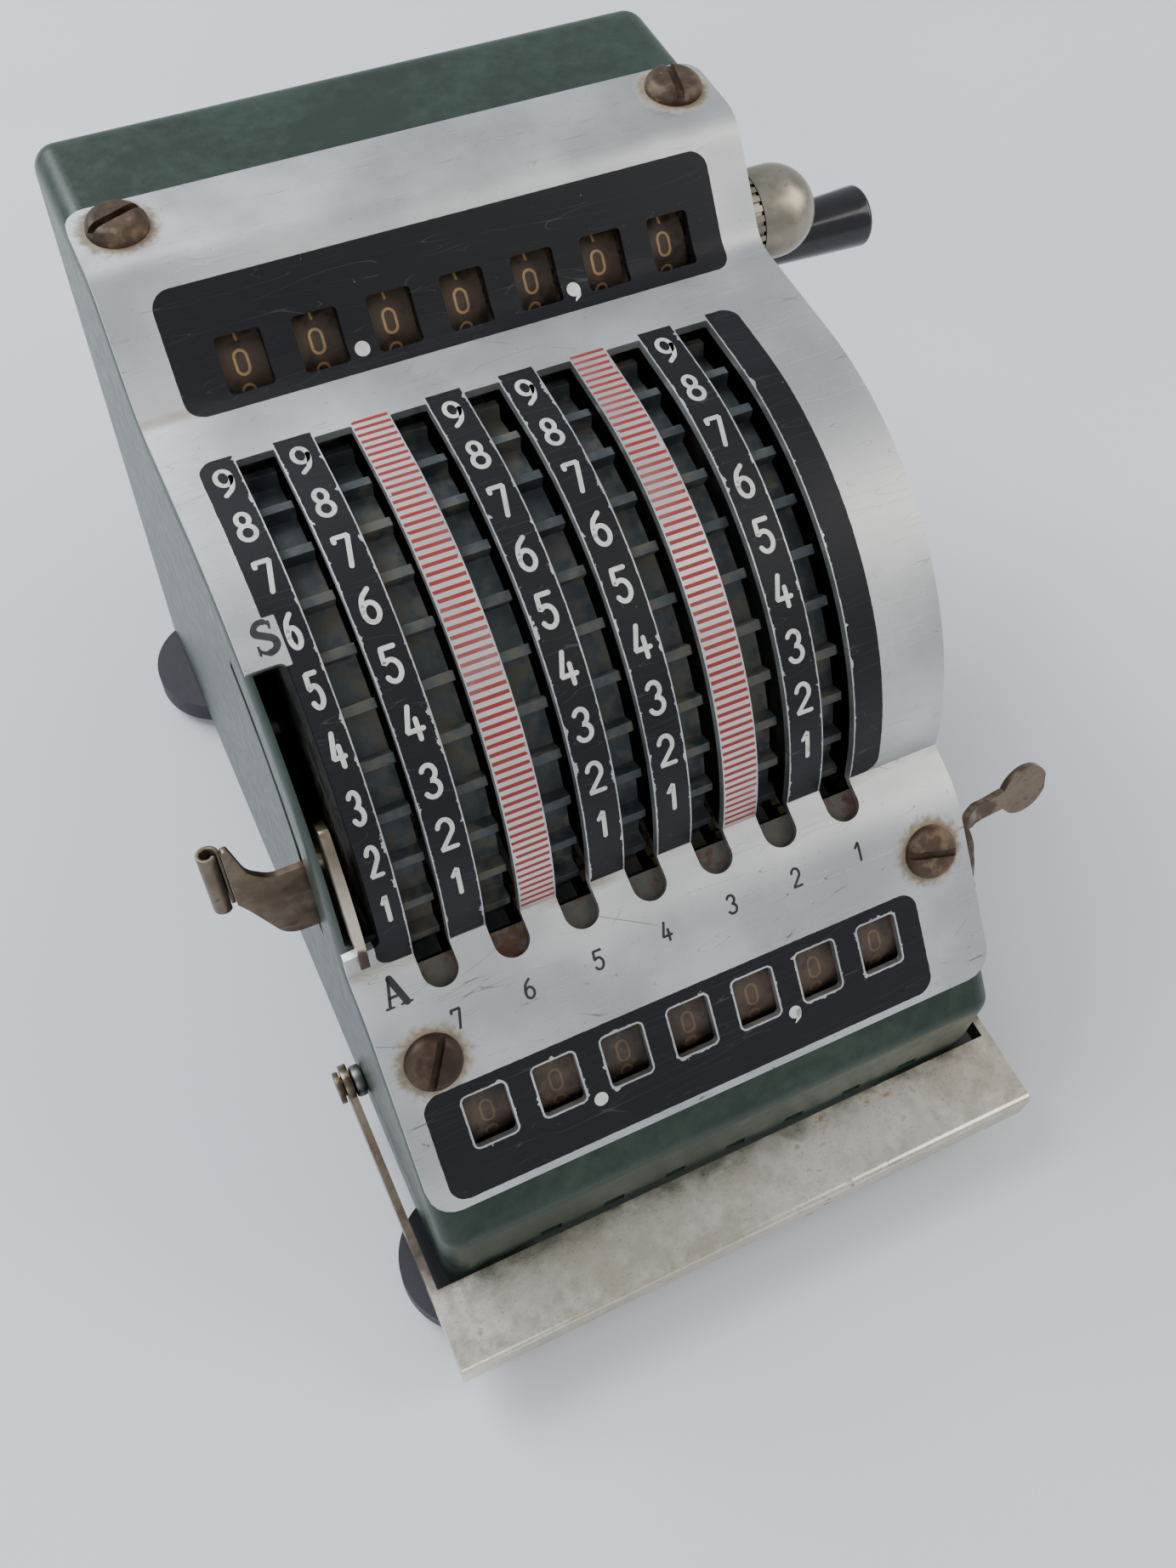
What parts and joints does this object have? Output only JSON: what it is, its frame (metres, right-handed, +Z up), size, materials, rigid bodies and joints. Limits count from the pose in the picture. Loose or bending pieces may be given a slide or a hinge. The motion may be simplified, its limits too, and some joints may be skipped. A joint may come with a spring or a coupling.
{
  "type": "mechanical adding machine",
  "caption": "Desk adding machine with toothed setting wheels under a curved slotted plate, number windows, a front press bar, side levers and a zeroing crank.",
  "frame": {"origin": "centre of the bounding box on the table, under the feet", "axes": "+Z up, -Y towards the operator, +X to the operator's right"},
  "size_m": [0.1288, 0.147, 0.1093],
  "materials": {
    "green_paint": "textured dark green-grey enamel",
    "satin_aluminium": "satin",
    "aged_steel": "tarnished",
    "black_rubber": "matte",
    "bare_steel": "plain",
    "nickel_plate": "worn nickel",
    "black_grip": "gloss",
    "dark_casting": "blackened casting",
    "gear_brass": "plain",
    "dial_black": "matte"
  },
  "bodies": {
    "machine": {"case_shell": "green_paint", "face_plate": "satin_aluminium", "plate_screws": "aged_steel", "base_plate": "green_paint", "front_left_foot": "black_rubber", "front_right_foot": "black_rubber", "rear_left_foot": "black_rubber", "rear_right_foot": "black_rubber", "foot_screws": "aged_steel", "left_frame_plate": "bare_steel", "right_frame_plate": "bare_steel", "tie_rods": "bare_steel", "main_shaft": "bare_steel", "check_shaft": "bare_steel", "column_plates": "bare_steel", "idler_pins": "bare_steel", "stop_bar": "aged_steel", "detent_comb": "bare_steel", "press_bar_pins": "bare_steel", "press_bar_springs": "bare_steel", "serrated_ring": "nickel_plate"},
    "wheel_1": {"setting_wheel_1": "dark_casting"},
    "idler_1": {"idler_gear_1": "gear_brass"},
    "check_1": {"check_dial_1": "dial_black"},
    "result_1": {"result_dial_1": "dial_black"},
    "wheel_2": {"setting_wheel_2": "dark_casting"},
    "idler_2": {"idler_gear_2": "gear_brass"},
    "check_2": {"check_dial_2": "dial_black"},
    "result_2": {"result_dial_2": "dial_black"},
    "wheel_3": {"setting_wheel_3": "dark_casting"},
    "idler_3": {"idler_gear_3": "gear_brass"},
    "check_3": {"check_dial_3": "dial_black"},
    "result_3": {"result_dial_3": "dial_black"},
    "wheel_4": {"setting_wheel_4": "dark_casting"},
    "idler_4": {"idler_gear_4": "gear_brass"},
    "check_4": {"check_dial_4": "dial_black"},
    "result_4": {"result_dial_4": "dial_black"},
    "wheel_5": {"setting_wheel_5": "dark_casting"},
    "idler_5": {"idler_gear_5": "gear_brass"},
    "check_5": {"check_dial_5": "dial_black"},
    "result_5": {"result_dial_5": "dial_black"},
    "wheel_6": {"setting_wheel_6": "dark_casting"},
    "idler_6": {"idler_gear_6": "gear_brass"},
    "check_6": {"check_dial_6": "dial_black"},
    "result_6": {"result_dial_6": "dial_black"},
    "wheel_7": {"setting_wheel_7": "dark_casting"},
    "idler_7": {"idler_gear_7": "gear_brass"},
    "check_7": {"check_dial_7": "dial_black"},
    "result_7": {"result_dial_7": "dial_black"},
    "press_bar": {"press_bar": "nickel_plate"},
    "mode_lever": {"mode_lever": "nickel_plate"},
    "clear_lever": {"clear_lever": "nickel_plate"},
    "crank": {"result_shaft": "bare_steel", "crank": "nickel_plate", "grip_pin": "bare_steel"},
    "grip": {"crank_grip": "black_grip"}
  },
  "joints": [
    {"name": "wheel_1_turn", "type": "hinge", "parent": "machine", "child": "wheel_1", "pos_m": [0.01935, 0.0125, 0.05], "axis": [1, 0, 0], "range_deg": [0, 85.26]},
    {"name": "idler_1_turn", "type": "hinge", "parent": "machine", "child": "idler_1", "pos_m": [0.02355, -0.0226, 0.0345], "axis": [1, 0, 0], "range_deg": [-124.7, 0]},
    {"name": "check_1_turn", "type": "hinge", "parent": "machine", "child": "check_1", "pos_m": [0.01935, -0.0442, 0.0349], "axis": [1, 0, 0], "range_deg": [0, 324.1]},
    {"name": "result_1_turn", "type": "hinge", "parent": "machine", "child": "result_1", "pos_m": [0.02292, 0.0408, 0.0908], "axis": [1, 0, 0], "continuous": true},
    {"name": "wheel_2_turn", "type": "hinge", "parent": "machine", "child": "wheel_2", "pos_m": [0.00935, 0.0125, 0.05], "axis": [1, 0, 0], "range_deg": [0, 85.26]},
    {"name": "idler_2_turn", "type": "hinge", "parent": "machine", "child": "idler_2", "pos_m": [0.01355, -0.0226, 0.0345], "axis": [1, 0, 0], "range_deg": [-124.7, 0]},
    {"name": "check_2_turn", "type": "hinge", "parent": "machine", "child": "check_2", "pos_m": [0.00935, -0.0442, 0.0349], "axis": [1, 0, 0], "range_deg": [0, 324.1]},
    {"name": "result_2_turn", "type": "hinge", "parent": "machine", "child": "result_2", "pos_m": [0.01292, 0.0408, 0.0908], "axis": [1, 0, 0], "continuous": true},
    {"name": "wheel_3_turn", "type": "hinge", "parent": "machine", "child": "wheel_3", "pos_m": [-0.00065, 0.0125, 0.05], "axis": [1, 0, 0], "range_deg": [0, 85.26]},
    {"name": "idler_3_turn", "type": "hinge", "parent": "machine", "child": "idler_3", "pos_m": [0.00355, -0.0226, 0.0345], "axis": [1, 0, 0], "range_deg": [-124.7, 0]},
    {"name": "check_3_turn", "type": "hinge", "parent": "machine", "child": "check_3", "pos_m": [-0.00065, -0.0442, 0.0349], "axis": [1, 0, 0], "range_deg": [0, 324.1]},
    {"name": "result_3_turn", "type": "hinge", "parent": "machine", "child": "result_3", "pos_m": [0.00292, 0.0408, 0.0908], "axis": [1, 0, 0], "continuous": true},
    {"name": "wheel_4_turn", "type": "hinge", "parent": "machine", "child": "wheel_4", "pos_m": [-0.01065, 0.0125, 0.05], "axis": [1, 0, 0], "range_deg": [0, 85.26]},
    {"name": "idler_4_turn", "type": "hinge", "parent": "machine", "child": "idler_4", "pos_m": [-0.00645, -0.0226, 0.0345], "axis": [1, 0, 0], "range_deg": [-124.7, 0]},
    {"name": "check_4_turn", "type": "hinge", "parent": "machine", "child": "check_4", "pos_m": [-0.01065, -0.0442, 0.0349], "axis": [1, 0, 0], "range_deg": [0, 324.1]},
    {"name": "result_4_turn", "type": "hinge", "parent": "machine", "child": "result_4", "pos_m": [-0.00708, 0.0408, 0.0908], "axis": [1, 0, 0], "continuous": true},
    {"name": "wheel_5_turn", "type": "hinge", "parent": "machine", "child": "wheel_5", "pos_m": [-0.02065, 0.0125, 0.05], "axis": [1, 0, 0], "range_deg": [0, 85.26]},
    {"name": "idler_5_turn", "type": "hinge", "parent": "machine", "child": "idler_5", "pos_m": [-0.01645, -0.0226, 0.0345], "axis": [1, 0, 0], "range_deg": [-124.7, 0]},
    {"name": "check_5_turn", "type": "hinge", "parent": "machine", "child": "check_5", "pos_m": [-0.02065, -0.0442, 0.0349], "axis": [1, 0, 0], "range_deg": [0, 324.1]},
    {"name": "result_5_turn", "type": "hinge", "parent": "machine", "child": "result_5", "pos_m": [-0.01708, 0.0408, 0.0908], "axis": [1, 0, 0], "continuous": true},
    {"name": "wheel_6_turn", "type": "hinge", "parent": "machine", "child": "wheel_6", "pos_m": [-0.03065, 0.0125, 0.05], "axis": [1, 0, 0], "range_deg": [0, 85.26]},
    {"name": "idler_6_turn", "type": "hinge", "parent": "machine", "child": "idler_6", "pos_m": [-0.02645, -0.0226, 0.0345], "axis": [1, 0, 0], "range_deg": [-124.7, 0]},
    {"name": "check_6_turn", "type": "hinge", "parent": "machine", "child": "check_6", "pos_m": [-0.03065, -0.0442, 0.0349], "axis": [1, 0, 0], "range_deg": [0, 324.1]},
    {"name": "result_6_turn", "type": "hinge", "parent": "machine", "child": "result_6", "pos_m": [-0.02708, 0.0408, 0.0908], "axis": [1, 0, 0], "continuous": true},
    {"name": "wheel_7_turn", "type": "hinge", "parent": "machine", "child": "wheel_7", "pos_m": [-0.04065, 0.0125, 0.05], "axis": [1, 0, 0], "range_deg": [0, 85.26]},
    {"name": "idler_7_turn", "type": "hinge", "parent": "machine", "child": "idler_7", "pos_m": [-0.03645, -0.0226, 0.0345], "axis": [1, 0, 0], "range_deg": [-124.7, 0]},
    {"name": "check_7_turn", "type": "hinge", "parent": "machine", "child": "check_7", "pos_m": [-0.04065, -0.0442, 0.0349], "axis": [1, 0, 0], "range_deg": [0, 324.1]},
    {"name": "result_7_turn", "type": "hinge", "parent": "machine", "child": "result_7", "pos_m": [-0.03708, 0.0408, 0.0908], "axis": [1, 0, 0], "continuous": true},
    {"name": "press_bar_push", "type": "hinge", "parent": "machine", "child": "press_bar", "pos_m": [-0.0079, -0.0275, 0.0114], "axis": [1, 0, 0], "range_deg": [0, 3.5], "stiffness_Nm_per_rad": 0.05, "springref_deg": -20.05},
    {"name": "mode_lever_set", "type": "hinge", "parent": "machine", "child": "mode_lever", "pos_m": [-0.04955, 0.0125, 0.05], "axis": [1, 0, 0], "range_deg": [-25, 0]},
    {"name": "clear_lever_pull", "type": "hinge", "parent": "machine", "child": "clear_lever", "pos_m": [0.03745, -0.0442, 0.0349], "axis": [1, 0, 0], "range_deg": [0, 25], "stiffness_Nm_per_rad": 0.01, "springref_deg": -20.05},
    {"name": "crank_turn", "type": "hinge", "parent": "machine", "child": "crank", "pos_m": [0.03935, 0.0408, 0.0908], "axis": [1, 0, 0], "continuous": true},
    {"name": "grip_turn", "type": "hinge", "parent": "crank", "child": "grip", "pos_m": [0.05235, 0.0465, 0.08], "axis": [1, 0, 0], "continuous": true}
  ],
  "couplings": [
    {"joint": "idler_1_turn", "follows": "wheel_1_turn", "ratio": -1.4615},
    {"joint": "check_1_turn", "follows": "wheel_1_turn", "ratio": 3.8},
    {"joint": "idler_2_turn", "follows": "wheel_2_turn", "ratio": -1.4615},
    {"joint": "check_2_turn", "follows": "wheel_2_turn", "ratio": 3.8},
    {"joint": "idler_3_turn", "follows": "wheel_3_turn", "ratio": -1.4615},
    {"joint": "check_3_turn", "follows": "wheel_3_turn", "ratio": 3.8},
    {"joint": "idler_4_turn", "follows": "wheel_4_turn", "ratio": -1.4615},
    {"joint": "check_4_turn", "follows": "wheel_4_turn", "ratio": 3.8},
    {"joint": "idler_5_turn", "follows": "wheel_5_turn", "ratio": -1.4615},
    {"joint": "check_5_turn", "follows": "wheel_5_turn", "ratio": 3.8},
    {"joint": "idler_6_turn", "follows": "wheel_6_turn", "ratio": -1.4615},
    {"joint": "check_6_turn", "follows": "wheel_6_turn", "ratio": 3.8},
    {"joint": "idler_7_turn", "follows": "wheel_7_turn", "ratio": -1.4615},
    {"joint": "check_7_turn", "follows": "wheel_7_turn", "ratio": 3.8}
  ]
}
